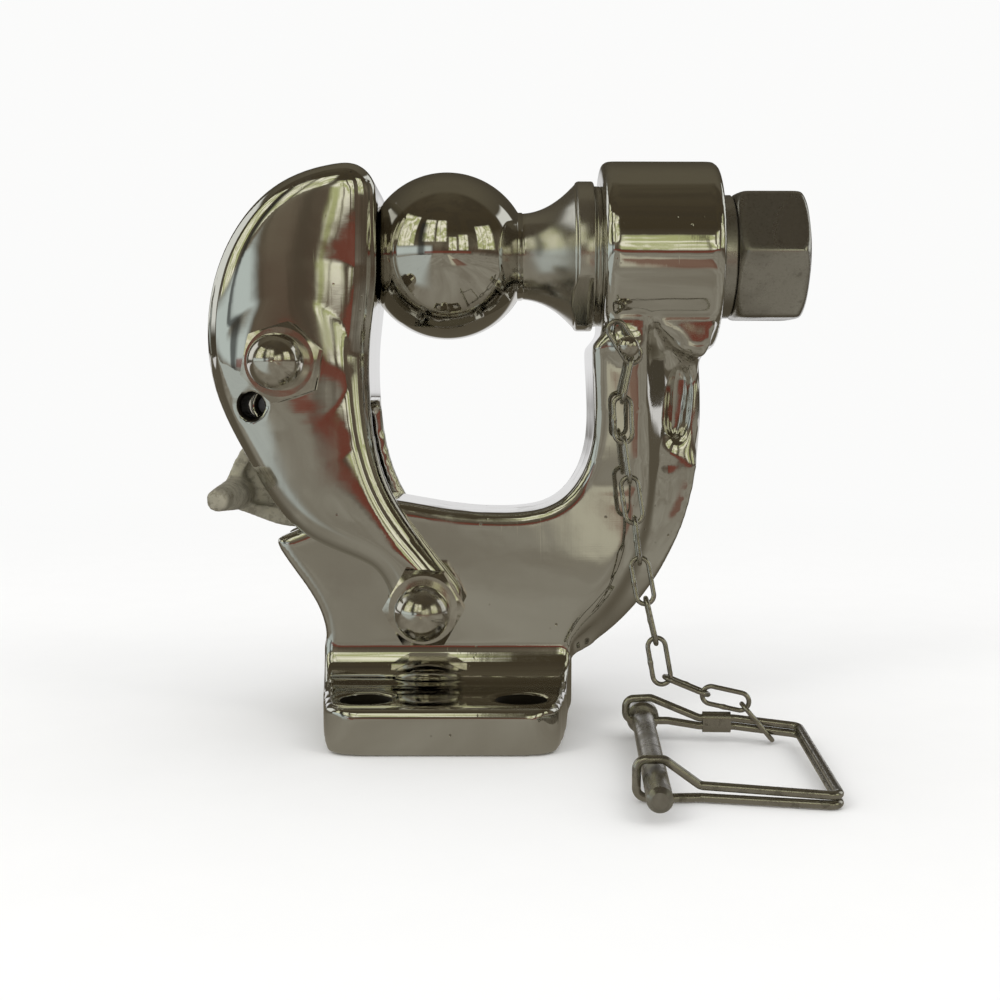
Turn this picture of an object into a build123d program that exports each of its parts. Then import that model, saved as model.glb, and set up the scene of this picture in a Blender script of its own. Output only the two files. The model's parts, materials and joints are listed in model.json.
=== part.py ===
"""Combination pintle hook and hitch ball on a four-bolt plate, with its lock, chain and safety pin.

Frame: origin at the centre of the mounting face, +Z up, +X along the ball stud towards its nut,
-Y towards the side that carries the chain. The hook is symmetric about the XZ plane.
"""

import os
from math import cos, radians, sin, sqrt, tan

from build123d import *

# ---- driving sizes, mm ----
ball_dia = 50.8
ball_axis_z = 142.2
neck_dia = 26.8
neck_start = 22.9
flange_dia = 45.6
flange_flats = 41.0
flange_start = 38.6
shank_dia = 25.4
shank_clearance = 0.15
nut_flats = 38.1
nut_thick = 22.0
lock_washer_dia = 37.6
lock_washer_thick = 4.5

boss_dia = 57.6
boss_start = 46.6
boss_length = 35.6
boss_round = 2.5

plate_width = 66.6
plate_bulge = 74.6
plate_depth = 115.0
plate_thick = 13.4
plate_corner = 9.0
plate_edge_round = 2.2
bolt_spacing_x = 44.45
bolt_spacing_y = 85.7
bolt_hole_dia = 13.9
saddle_radius = 11.6

web_thick = 38.0
horn_thick = 45.0
band_thick = 24.0
apron_thick = 44.0
rim_round = 2.2
pocket_depth = 3.0
pocket_slope = 20.0
flank_slope = 0.9
flank_sink = 0.5

pivot_x = -6.0
pivot_z = 38.0
pawl_x = -46.7
pawl_z = 108.9
pivot_bolt_dia = 12.0
running_clearance = 0.05
bore_clearance = 0.10
bush_wall = 2.0
small_nut_flats = 20.6
small_nut_hex = 9.5
small_nut_dome = 8.0
small_nut_height = 24.0
small_nut_bore = 13.0
washer_dia = 20.8
washer_thick = 2.0
bolt_head_thick = 7.5

jaw_thick = 54.0
jaw_round = 6.5
jaw_face_x = -20.5
ear_radius = 11.0
slot_clearance = 0.6
slot_radius = 62.0
cup_clearance = 0.6
pin_hole_x = -56.5
pin_hole_z = 96.5
pin_hole_dia = 7.5

pawl_thick = 14.0
pawl_web = 8.0
pawl_side_clearance = 0.7
hub_radius = 10.0
hub_clearance = 2.2
lock_gap = 0.4
lock_angle = 43.0
lock_x = -40.0
lock_z = 57.5
bar_x = -64.4
bar_z = 69.6
bar_length = 80.0
bar_root_dia = 10.0
bar_tip_dia = 6.6
spring_wire = 1.3
spring_turns = 1.75
spring_barrel_r = 8.0
spring_recess = 1.4
spring_floor = 2.8

link_length = 14.9
link_width = 6.5
link_wire = 1.4
link_gap = 0.3
anchor_x = 53.2
anchor_z = 113.7
anchor_seat_dia = 7.4
anchor_seat_height = 0.6
anchor_neck_dia = 3.0
anchor_head_dia = 6.2
anchor_thread_depth = 6.0
anchor_dome = 1.9
first_link_lean = 33.0
chain_leans = [-12, 2, 7, 8, 6, 10, 12.8, 9.7, 68.5, 78.5]
chain_forward = 6.6
last_link_slope = 50.0

peg_dia = 6.35
peg_tip_length = 85.0
peg_head_length = 8.4
collar_dia = 9.4
collar_length = 5.6
peg_yaw = -3.2
peg_height = 5.9
bail_wire = 2.2
bail_play = 0.35
bail_reach = 44.3
bail_span = 67.0
bail_bend = 2.4
strand_gap = 0.1
arm_rise = 3.5
corner_rise = 1.8
loop_from_tip = 21.5
link_on_arm = 32.5
link_height = 6.09
ferrule_start = 17.0
ferrule_length = 8.0
ferrule_wall = 0.7

# ---- places that several pieces share ----
half_web = web_thick / 2
half_horn = horn_thick / 2
half_jaw = jaw_thick / 2
saddle_top = plate_thick + saddle_radius
boss_end = boss_start + boss_length
bolt_r = pivot_bolt_dia / 2
bush_r = bolt_r + running_clearance + bush_wall
groove_half = pawl_thick / 2 + pawl_side_clearance
pivot = (pivot_x, pivot_z)
pawl_pivot = (pawl_x, pawl_z)
horn_face_z = 120.0
taper_start_z = 72.0


def face_half_width(z):
    """Half the thickness of the web at height z: it grows from the web to the horn."""
    share = max(0.0, min(1.0, (z - taper_start_z) / (horn_face_z - taper_start_z)))
    return half_web + share * (horn_thick - web_thick) / 2


def side_of(place):
    """The plane through a place's own axis: x is the radius and y runs along the axis."""
    return Plane(origin=place.origin, x_dir=place.x_dir, z_dir=-place.y_dir)


def axis_of(place):
    return Axis(place.origin, place.z_dir)


# ---- hook body: plate, saddle, web, band, apron and boss in one casting ----
with BuildPart() as base:
    with BuildSketch(Plane.YZ):
        with BuildLine():
            half = plate_depth / 2
            foot = half_web + saddle_radius
            sag = saddle_radius * (1 - sin(radians(45)))
            turn = plate_edge_round * (1 - sin(radians(45)))
            Polyline((-half_web, saddle_top), (half_web, saddle_top))
            for side in (1, -1):
                ThreePointArc(
                    (side * half_web, saddle_top),
                    (side * (half_web + sag), plate_thick + sag),
                    (side * foot, plate_thick),
                )
                Line((side * foot, plate_thick), (side * (half - plate_edge_round), plate_thick))
                ThreePointArc(
                    (side * (half - plate_edge_round), plate_thick),
                    (side * (half - turn), plate_thick - turn),
                    (side * half, plate_thick - plate_edge_round),
                )
                Line((side * half, plate_thick - plate_edge_round), (side * half, 0))
            Line((half, 0), (-half, 0))
        make_face()
    extrude(amount=plate_bulge, both=True)
    with BuildSketch() as plan:
        end_y = plate_depth / 2
        side_y = end_y - plate_corner
        w = plate_width / 2
        with BuildLine():
            ThreePointArc((w, -side_y), (plate_bulge / 2, 0), (w, side_y))
            Polyline((w, side_y), (w, end_y), (-w, end_y), (-w, side_y))
            ThreePointArc((-w, side_y), (-plate_bulge / 2, 0), (-w, -side_y))
            Polyline((-w, -side_y), (-w, -end_y), (w, -end_y), (w, -side_y))
        make_face()
        corners = [v for v in plan.vertices() if abs(abs(v.Y) - end_y) < 0.01]
        fillet(corners, radius=plate_corner * 0.96)
    extrude(amount=saddle_top, mode=Mode.INTERSECT)

with BuildPart() as web:
    with BuildSketch(Plane.XZ):
        with BuildLine():
            left = -plate_bulge / 2 + 1.0
            right = plate_bulge / 2 + 0.6
            Polyline((right, 6), (left, 6), (left, 25))
            Spline((left, 25), (-38.4, 35.5), (-44.6, 45.5), (-50.6, 54.4))
            Polyline((-50.6, 54.4), (-50.9, 56.6), (-37.0, 62.2), (-30.0, 67.6), (-24.0, 69.4))
            Spline(
                (-24.0, 69.4), (0, 65.5), (19, 64.3), (33.5, 67.6), (41.4, 77.5), (44.2, 95), (43.4, 114.5)
            )
            Polyline((43.4, 114.5), (boss_start + 1, 119), (boss_start + 1, ball_axis_z), (60, ball_axis_z))
            Spline((60, ball_axis_z), (60.3, 105), (59.2, 74), (56.0, 50), (48.5, 36.0), (right, 25))
            Line((right, 25), (right, 6))
        make_face()
    extrude(amount=horn_thick, both=True)
    with BuildSketch(Plane.YZ):
        with BuildLine():
            h = horn_thick / 2
            Polyline(
                (-half_web, 0), (half_web, 0), (half_web, taper_start_z), (h, horn_face_z),
                (h, ball_axis_z + 1), (-h, ball_axis_z + 1), (-h, horn_face_z),
                (-half_web, taper_start_z), (-half_web, 0),
            )
        make_face()
    extrude(amount=150, both=True, mode=Mode.INTERSECT)

with BuildPart() as band:
    with BuildSketch(Plane.XZ):
        with BuildLine():
            Polyline((30, 40), (30, 12), (36.8, 12), (36.8, 19.3))
            Spline(
                (36.8, 19.3), (47.5, 25.6), (60.5, 38.8), (70.2, 56.0), (76.0, 78.0), (77.2, 97.5),
                (76.6, 110.5),
            )
            Polyline(
                (76.6, 110.5), (79.5, 119), (boss_end - boss_round, ball_axis_z), (50, ball_axis_z), (50, 80),
                (30, 40),
            )
        make_face()
    extrude(amount=band_thick / 2, both=True)


with BuildPart() as flank:
    edge = [(67.0, 118), (66.8, 104), (65.6, 76), (62.0, 53.5), (54.5, 38.5), (46.5, 29.5)]
    flank_top = half_web - flank_sink
    for side in (1, -1):
        for out_y in (band_thick / 2, flank_top):
            inset = (out_y - band_thick / 2) * flank_slope
            with BuildSketch(Plane.XZ.offset(side * out_y)):
                with BuildLine():
                    Spline(*[(x - inset, z) for x, z in edge])
                    Polyline(
                        (46.5 - inset, 29.5), (36, 33), (44, 52), (46, 80), (46, 118), (67.0 - inset, 118)
                    )
                make_face()
        loft(ruled=True)

with BuildPart() as apron:
    with BuildSketch(Plane.XZ):
        with BuildLine():
            Polyline((58, ball_axis_z), (57.5, 126.5), (61.0, 122.5), (66.0, 115.8))
            Spline((66.0, 115.8), (70.5, 112.3), (75.6, 110.2))
            Polyline(
                (75.6, 110.2), (77.2, 111.0), (79.6, 119.5), (boss_end - boss_round, ball_axis_z),
                (58, ball_axis_z),
            )
        make_face()
    extrude(amount=apron_thick / 2, both=True)

with BuildPart() as boss:
    with BuildSketch(Plane.YZ.offset(boss_start)):
        with Locations((0, ball_axis_z)):
            Circle(boss_dia / 2)
    extrude(amount=boss_length)
    fillet(boss.edges(), radius=boss_round)

with BuildPart() as hook_body:
    add(web.part)
    rim = [
        e for e in hook_body.edges()
        if saddle_top + 5 < e.center().Z < horn_face_z + 5
        and abs(abs(e.center().Y) - face_half_width(e.center().Z)) < 1.0
    ]
    fillet(rim, radius=rim_round)
    for piece in (base, band, flank, apron, boss):
        add(piece.part)
    # shallow pocket on each side of the band, below the apron
    for side in (1, -1):
        with BuildSketch(Plane.XZ.offset(side * band_thick / 2)):
            with BuildLine():
                Polyline(
                    (66.2, 86.0), (72.2, 85.5), (74.2, 100.0), (74.6, 107.5), (68.0, 111.0), (66.2, 86.0)
                )
            make_face()
        extrude(amount=-side * pocket_depth, taper=pocket_slope, mode=Mode.SUBTRACT)
    # seat of the chain screw
    with BuildSketch(Plane.XZ.offset(half_horn - 0.5)):
        with Locations((anchor_x, anchor_z)):
            Circle(anchor_seat_dia / 2)
    extrude(amount=0.5 + anchor_seat_height)
    # bores
    with BuildSketch(Plane.XZ):
        with Locations(pivot):
            Circle(bush_r)
    extrude(amount=half_web + 1, both=True, mode=Mode.SUBTRACT)
    with BuildSketch(Plane.YZ.offset(boss_start - 1)):
        with Locations((0, ball_axis_z)):
            Circle(shank_dia / 2 + shank_clearance)
    extrude(amount=boss_length + 2, mode=Mode.SUBTRACT)
    with BuildSketch(Plane.XY.offset(-1)):
        with GridLocations(bolt_spacing_x, bolt_spacing_y, 2, 2):
            Circle(bolt_hole_dia / 2)
    extrude(amount=saddle_top + 2, mode=Mode.SUBTRACT)
    with BuildSketch(Plane.XZ.offset(half_horn - anchor_thread_depth)):
        with Locations((anchor_x, anchor_z)):
            Circle(anchor_neck_dia / 2)
    extrude(amount=anchor_thread_depth + 5, mode=Mode.SUBTRACT)
    # groove in the beak: the pawl drops through it, and its floor is the locking face
    floor_run = 30.0
    rise = floor_run * tan(radians(lock_angle))
    with BuildSketch(Plane.XZ):
        with BuildLine():
            Polyline(
                (lock_x - floor_run, lock_z - rise), (lock_x + 12, lock_z + 12 * tan(radians(lock_angle))),
                (lock_x - floor_run, lock_z + rise), (lock_x - floor_run, lock_z - rise),
            )
        make_face()
    extrude(amount=groove_half, both=True, mode=Mode.SUBTRACT)

# ---- jaw: two cheeks below, solid above, cupped for the ball ----
ear_angle = radians(38)
ear_top = (pivot_x + ear_radius * cos(ear_angle), pivot_z + ear_radius * sin(ear_angle))
ear_back = (pivot_x - ear_radius, pivot_z)
arm_back = (pivot_x - ear_radius - 4.5, pivot_z + 9.9)
with BuildPart() as jaw:
    with BuildSketch(Plane.XZ):
        with BuildLine():
            Spline(
                arm_back, (-39.9, 56.8), (-57.6, 78.6), (-68.0, 100.7), (-70.2, 121.0),
                (-63.6, 145.0), (-48.6, 161.6), (-30.0, 167.6),
                tangents=[(-0.75, 0.66), (1, 0.12)], tangent_scalars=[0.6, 1.0],
            )
            ThreePointArc((-30.0, 167.6), (-23.3, 165.4), (jaw_face_x, 159.0))
            Line((jaw_face_x, 159.0), (jaw_face_x, 138.0))
            Spline(
                (jaw_face_x, 138.0), (-22.4, 115.0), (-22.2, 97.5), (-16.5, 72.0), (-8.4, 59.0), ear_top,
                tangents=[(0, -1), (sin(ear_angle), -cos(ear_angle))],
            )
            ThreePointArc(ear_top, (pivot_x, pivot_z - ear_radius), ear_back)
            TangentArc(ear_back, arm_back, tangent=(0, 1))
        make_face()
    extrude(amount=half_jaw, both=True)
    rim = [e for e in jaw.edges() if abs(abs(e.center().Y) - half_jaw) < 0.01]
    fillet(rim, radius=jaw_round)
    # slot for the web of the hook
    with BuildSketch(Plane.XZ):
        with Locations(pivot):
            Circle(slot_radius)
    extrude(amount=half_web + slot_clearance, both=True, mode=Mode.SUBTRACT)
    # pocket for the pawl, open towards the back
    with BuildSketch(Plane.XZ):
        with Locations(pawl_pivot):
            Circle(hub_radius + hub_clearance)
        with BuildLine():
            Polyline(
                (pawl_x + hub_radius + hub_clearance, pawl_z), (-30, 88), (-40, 60), (-82, 60),
                (-82, 94), (pawl_x - 6, pawl_z + 10.6), (pawl_x, pawl_z),
                (pawl_x + hub_radius + hub_clearance, pawl_z),
            )
        make_face()
    extrude(amount=groove_half, both=True, mode=Mode.SUBTRACT)
    with BuildSketch(Plane.XZ):
        with Locations(pivot, pawl_pivot):
            Circle(bolt_r + bore_clearance)
        with Locations((pin_hole_x, pin_hole_z)):
            Circle(pin_hole_dia / 2)
    extrude(amount=half_jaw + 1, both=True, mode=Mode.SUBTRACT)
    with Locations((0, 0, ball_axis_z)):
        Sphere(ball_dia / 2 + cup_clearance, mode=Mode.SUBTRACT)

# ---- ball stud: ball, neck, wrench flange and shank in one ----
ball_r = ball_dia / 2
neck_r = neck_dia / 2
flange_r = flange_dia / 2
shank_r = shank_dia / 2
stud_end = boss_end + lock_washer_thick + nut_thick - 2.0
flange_bevel = 1.4
with BuildPart() as ball_stud:
    with BuildSketch(Plane.XZ):
        with BuildLine():
            z = ball_axis_z
            crease = (neck_start, z + neck_r - 0.3)
            lip = (flange_start, z + flange_r - flange_bevel)
            ThreePointArc((-ball_r, z), (0, z + ball_r), (sqrt(ball_r**2 - neck_r**2), z + neck_r))
            Polyline((sqrt(ball_r**2 - neck_r**2), z + neck_r), (neck_start, z + neck_r), crease)
            Spline(crease, (30.0, z + 16.2), lip, tangents=[(1, 0.12), (0.72, 0.7)])
            Polyline(
                lip, (flange_start + flange_bevel, z + flange_r), (boss_start - 2.4, z + flange_r),
                (boss_start - 1.4, z + flange_r - 1.2), (boss_start, z + flange_r - 1.2),
                (boss_start, z + shank_r), (stud_end - 2, z + shank_r), (stud_end, z + shank_r - 2),
                (stud_end, z), (-ball_r, z),
            )
        make_face()
    revolve(axis=Axis((0, 0, ball_axis_z), (1, 0, 0)))
    # two wrench flats on the flange
    with BuildSketch(Plane.YZ.offset(flange_start - 3)):
        for side in (1, -1):
            reach = side * (flange_flats / 2 + flange_dia / 4)
            spot = (reach * cos(radians(45)), ball_axis_z + reach * sin(radians(45)))
            with Locations(Location(spot, 45)):
                Rectangle(flange_dia / 2, flange_dia)
    extrude(amount=boss_start - flange_start + 2, mode=Mode.SUBTRACT)


# ---- hex fasteners ----
def hex_blank(place, flats, thick, turn):
    """A hex prism standing on place, its outer corners bevelled the way a bar is faced off."""
    corner = flats / sqrt(3)
    face_r = flats / 2 * 0.96
    drop = (corner - face_r) * tan(radians(30))
    with BuildPart() as blank:
        with BuildSketch(place):
            RegularPolygon(flats / 2, 6, major_radius=False, rotation=turn)
        extrude(amount=thick)
        with BuildSketch(side_of(place)):
            with BuildLine():
                Polyline(
                    (0, 0), (corner + 1, 0), (corner + 1, thick - drop * 1.5), (corner, thick - drop),
                    (face_r, thick), (0, thick), (0, 0),
                )
            make_face()
        revolve(axis=axis_of(place), mode=Mode.INTERSECT)
    return blank.part


def ring(place, outer_r, inner_r, thick):
    with BuildPart() as washer:
        with BuildSketch(place):
            Circle(outer_r)
            Circle(inner_r, mode=Mode.SUBTRACT)
        extrude(amount=thick)
        rounds = washer.edges().filter_by(GeomType.CIRCLE)
        outside = [e for e in rounds if abs(e.radius - outer_r) < 0.01]
        chamfer(outside, length=0.35)
    return washer.part


nut_place = Plane(origin=(boss_end + lock_washer_thick, 0, ball_axis_z), x_dir=(0, -1, 0), z_dir=(1, 0, 0))
with BuildPart() as ball_nut:
    add(hex_blank(nut_place, nut_flats, nut_thick, 0))
    far_face = nut_place.offset(nut_thick)
    turned_over = Plane(origin=far_face.origin, x_dir=(0, -1, 0), z_dir=(-1, 0, 0))
    add(hex_blank(turned_over, nut_flats, nut_thick, 0), mode=Mode.INTERSECT)
    with BuildSketch(nut_place):
        Circle(shank_r + bore_clearance)
    extrude(amount=nut_thick, mode=Mode.SUBTRACT)

washer_place = Plane(origin=(boss_end, 0, ball_axis_z), x_dir=(0, -1, 0), z_dir=(1, 0, 0))
with BuildPart() as ball_lock_washer:
    add(ring(washer_place, lock_washer_dia / 2, shank_r + 0.3, lock_washer_thick))
    # the split, cut on a slant through the top of the ring
    with BuildSketch(Plane.XY.offset(ball_axis_z + shank_r - 2)):
        with BuildLine():
            Polyline(
                (boss_end - 1, -2.4), (boss_end - 1, -0.8), (boss_end + lock_washer_thick + 1, 2.4),
                (boss_end + lock_washer_thick + 1, 0.8), (boss_end - 1, -2.4),
            )
        make_face()
    extrude(amount=lock_washer_dia, mode=Mode.SUBTRACT)


def near_side(x, z, y_out=half_jaw):
    """A place on the chain's side of the jaw, facing outwards."""
    return Plane(origin=(x, -y_out, z), x_dir=(1, 0, 0), z_dir=(0, -1, 0))


def far_side(x, z, y_out=half_jaw):
    return Plane(origin=(x, y_out, z), x_dir=(1, 0, 0), z_dir=(0, 1, 0))


def acorn_nut(x, z, turn):
    place = near_side(x, z, half_jaw + washer_thick)
    dome_r = small_nut_dome
    with BuildPart() as nut:
        add(hex_blank(place, small_nut_flats, small_nut_hex, turn))
        with BuildSketch(side_of(place)):
            with BuildLine():
                top = small_nut_height
                Polyline((0, top), (0, 1), (dome_r, 1), (dome_r, top - dome_r))
                RadiusArc((dome_r, top - dome_r), (0, top), -dome_r)
            make_face()
        revolve(axis=axis_of(place))
        with BuildSketch(place):
            Circle(bolt_r + bore_clearance)
        extrude(amount=small_nut_bore, mode=Mode.SUBTRACT)
    return nut.part


def pivot_bolt(x, z):
    place = far_side(x, z, half_jaw + washer_thick)
    grip = jaw_thick + 2 * washer_thick + small_nut_bore - 1.5
    with BuildPart() as bolt:
        add(hex_blank(place, small_nut_flats, bolt_head_thick, 0))
        with BuildSketch(place):
            Circle(bolt_r)
        extrude(amount=-grip)
        chamfer(bolt.edges().sort_by(Axis.Y)[0], length=1.0)
    return bolt.part


def washer_pair(x, z):
    with BuildPart() as pair:
        for place in (near_side(x, z), far_side(x, z)):
            add(ring(place, washer_dia / 2, bolt_r + bore_clearance, washer_thick))
    return pair.part


with BuildPart() as jaw_pivot_nut:
    add(acorn_nut(*pivot, turn=0))
with BuildPart() as pawl_pivot_nut:
    add(acorn_nut(*pawl_pivot, turn=18))
with BuildPart() as jaw_pivot_bolt:
    add(pivot_bolt(*pivot))
with BuildPart() as pawl_pivot_bolt:
    add(pivot_bolt(*pawl_pivot))
with BuildPart() as jaw_pivot_washers:
    add(washer_pair(*pivot))
with BuildPart() as pawl_pivot_washers:
    add(washer_pair(*pawl_pivot))

with BuildPart() as jaw_bush:
    with BuildSketch(Plane.XZ):
        with Locations(pivot):
            Circle(bush_r)
            Circle(bolt_r + running_clearance, mode=Mode.SUBTRACT)
    extrude(amount=half_web, both=True)

# ---- pawl: hub, ribbed arm, nose and tee bar in one casting ----
half_pawl = pawl_thick / 2
nose_rise = tan(radians(lock_angle))
nose_lift = lock_gap / cos(radians(lock_angle))
nose_low_x = lock_x + 1.0
nose_high_x = lock_x + 4.8


def nose_z(x):
    """Height of the pawl's locking face, held off the groove's floor by the lock gap."""
    return lock_z + nose_lift + (x - lock_x) * nose_rise


pawl_back = [
    (-56.4, 106.5), (-54.8, 101.5), (-52.4, 96.5), (-54.2, 91.0), (-61.5, 85.0), (-66.0, 78.0), (-68.6, 72.0),
]
nose_low = (nose_low_x, nose_z(nose_low_x))
nose_high = (nose_high_x, nose_z(nose_high_x))
pawl_bottom = [(bar_x - 1.0, bar_z - 4.8), (-52.2, 59.8), (-46.5, nose_low[1]), nose_low, nose_high]
with BuildPart() as pawl:
    with BuildSketch(Plane.XZ):
        with BuildLine():
            Spline(*pawl_back)
            Polyline(pawl_back[-1], (bar_x, bar_z), *pawl_bottom)
            Spline(nose_high, (-37.2, 74.0), (-38.6, 88.0), (-36.9, 106.5))
            Line((-36.9, 106.5), (-56.4, 106.5))
        make_face()
    extrude(amount=pawl_web / 2, both=True)
    # ribs along the back edge and the bottom edge, and the thick nose
    with BuildSketch(Plane.XZ):
        with BuildLine():
            Spline(*pawl_back)
            Line(pawl_back[-1], (-63.0, 73.0))
            Spline((-63.0, 73.0), (-61.0, 78.5), (-57.0, 82.5), (-50.5, 88.5), (-48.0, 96.5), (-47.0, 106.5))
            Line((-47.0, 106.5), (-56.4, 106.5))
        make_face()
        with BuildLine():
            Polyline((bar_x, bar_z), *pawl_bottom)
            Polyline(nose_high, (-36.2, 70.0), (-45.0, 64.4), (-60.0, 66.6), (bar_x, bar_z))
        make_face()
    extrude(amount=half_pawl, both=True)
    with BuildSketch(Plane.XZ):
        with Locations(pawl_pivot):
            Circle(hub_radius)
    extrude(amount=half_pawl, both=True)
    bar_place = near_side(bar_x, bar_z, 0)
    with BuildSketch(side_of(bar_place)):
        with BuildLine():
            reach = bar_length / 2
            root_r = bar_root_dia / 2
            tip_r = bar_tip_dia / 2
            Polyline(
                (0, -reach), (tip_r - 0.7, -reach), (tip_r, -reach + 0.7), (root_r, -half_pawl - 3),
                (root_r, half_pawl + 3), (tip_r, reach - 0.7), (tip_r - 0.7, reach), (0, reach), (0, -reach),
            )
        make_face()
    revolve(axis=axis_of(bar_place))
    # recess for the spring beside the hub, leaving a barrel round the bolt
    with BuildSketch(Plane.XZ.offset(-half_pawl - 1)):
        with Locations(pawl_pivot):
            Circle(hub_radius + spring_recess)
            Circle(spring_barrel_r, mode=Mode.SUBTRACT)
    extrude(amount=1 + half_pawl - spring_floor, mode=Mode.SUBTRACT)
    with BuildSketch(Plane.XZ):
        with Locations(pawl_pivot):
            Circle(bolt_r + running_clearance)
    extrude(amount=half_pawl + 1, both=True, mode=Mode.SUBTRACT)

# ---- torsion spring round the barrel ----
spring_r = spring_barrel_r + 0.4 + spring_wire / 2
spring_pitch = spring_wire + 0.12
with BuildPart() as pawl_spring:
    with BuildLine() as coil:
        start_y = spring_floor + 0.3 + spring_wire / 2
        wind = Helix(
            pitch=spring_pitch, height=spring_pitch * spring_turns, radius=spring_r,
            center=(pawl_x, start_y, pawl_z), direction=(0, 1, 0),
        )
        foot = Line(wind @ 0 - (wind % 0) * 3.0, wind @ 0)
        arm = Line(wind @ 1, wind @ 1 + (wind % 1) * 5.4)
    with BuildSketch(Plane(origin=foot @ 0, z_dir=foot % 0)):
        Circle(spring_wire / 2)
    sweep(path=coil.wires()[0])

# ---- chain screw ----
seat_y = half_horn + anchor_seat_height
chain_y = seat_y + link_width / 2 + 1.1
with BuildPart() as chain_screw:
    place = near_side(anchor_x, anchor_z, 0)
    head_low = chain_y + link_width / 2 + 2 * link_gap
    head_r = anchor_head_dia / 2
    screw_end = half_horn - anchor_thread_depth + 0.5
    with BuildSketch(side_of(place)):
        with BuildLine():
            r = anchor_neck_dia / 2
            Polyline(
                (0, screw_end), (r - 0.1, screw_end), (r - 0.1, seat_y), (r + 1.0, seat_y), (r, seat_y + 1.0),
                (r, head_low), (head_r, head_low + 0.3), (head_r, head_low + 1.0),
            )
            dome_r = (head_r**2 + anchor_dome**2) / (2 * anchor_dome)
            dome_top = head_low + 1.0 + anchor_dome
            mid = (dome_r * sin(radians(30)), dome_top - dome_r * (1 - cos(radians(30))))
            ThreePointArc((head_r, head_low + 1.0), mid, (0, dome_top))
            Line((0, dome_top), (0, screw_end))
        make_face()
    revolve(axis=axis_of(place))

# ---- chain of oval links, each turned a quarter round from the last ----
link_half = (link_length - link_wire) / 2
link_bend = (link_width - link_wire) / 2
link_drop = link_half - link_wire - link_gap


def chain_link(place):
    """One oval link, long along the place's x."""
    run = link_half - link_bend
    with BuildPart() as link:
        with BuildLine(place) as loop:
            Line((-run, link_bend), (run, link_bend))
            ThreePointArc((run, link_bend), (run + link_bend, 0), (run, -link_bend))
            Line((run, -link_bend), (-run, -link_bend))
            ThreePointArc((-run, -link_bend), (-run - link_bend, 0), (-run, link_bend))
        start = loop.wires()[0] @ 0
        with BuildSketch(Plane(origin=start, z_dir=loop.wires()[0] % 0)):
            Circle(link_wire / 2)
        sweep(path=loop.wires()[0])
    return link.part


def link_place(centre, along, quarter):
    """Where a link lies: x along it, its flat side towards Y, or turned a quarter round."""
    flat = (Vector(0, 1, 0) - along * along.Y).normalized()
    normal = along.cross(flat) if quarter else flat
    return Plane(origin=centre, x_dir=along, z_dir=normal)


def lean(angle, forward=chain_forward):
    """Unit vector down the chain, leaning towards the nut by angle and towards -Y by forward."""
    a, b = radians(angle), radians(forward)
    return Vector(sin(a) * cos(b), -sin(b), -cos(a) * cos(b))


peg_right = Vector(cos(radians(peg_yaw)), sin(radians(peg_yaw)), 0)
slope = radians(last_link_slope)
last_along = peg_right * cos(slope) - Vector(0, 0, sin(slope))
alongs = [lean(first_link_lean, 0)] + [lean(angle) for angle in chain_leans] + [last_along]
neck_share = link_half - link_wire / 2 - link_wire - 5 * link_gap - anchor_neck_dia / 2
centre = Vector(anchor_x, -chain_y, anchor_z) - alongs[0] * neck_share
links, link_places, link_hinges = [], [], [Vector(anchor_x, -chain_y, anchor_z)]
for number, along in enumerate(alongs):
    if number:
        # the pull comes from the middle of the round end, so the contact walks round it
        last = link_places[-1]
        pull = (along - last.z_dir * along.dot(last.z_dir)).normalized()
        wire = centre + alongs[number - 1] * (link_half - link_bend) + pull * link_bend
        link_hinges.append(wire)
        centre = wire + along * link_drop
    link_places.append(link_place(centre, along, number % 2 == 1))
    links.append(chain_link(link_places[-1]))

# ---- safety pin: peg, doubled wire bail and crimped ferrule, placed from the last link ----
arm_y = -0.25
corner_y = -2.1
pin_origin = centre - peg_right * link_on_arm - Vector(0, 0, link_height)
peg_back = Vector(0, 0, 1).cross(peg_right)
pin_origin = pin_origin - peg_back * (arm_y + (corner_y - arm_y) * 0.45)
pin_plane = Plane(origin=pin_origin, x_dir=peg_right, z_dir=(0, 0, 1))
peg_place = Plane(origin=pin_plane.from_local_coords((0, 0, peg_height)), x_dir=peg_right, z_dir=-peg_back)
peg_r = peg_dia / 2
strand = bail_wire + strand_gap
with BuildPart() as safety_pin:
    with BuildSketch(side_of(peg_place)):
        with BuildLine():
            c = collar_dia / 2
            head = -peg_head_length
            Polyline(
                (0, head), (peg_r - 0.6, head), (peg_r, head + 0.6), (peg_r, head + 1.0),
                (c - 0.8, head + 1.0), (c, head + 1.8), (c, head + collar_length),
                (c - 0.8, head + collar_length + 0.8),
                (peg_r, head + collar_length + 0.8), (peg_r, peg_tip_length - 1.2),
                (peg_r - 1.2, peg_tip_length), (0, peg_tip_length), (0, head),
            )
        make_face()
    revolve(axis=axis_of(peg_place))
    with BuildSketch(Plane(origin=peg_place.origin, x_dir=peg_back, z_dir=peg_right)):
        Circle(bail_wire / 2 + running_clearance)
    extrude(amount=peg_dia, both=True, mode=Mode.SUBTRACT)

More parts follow.
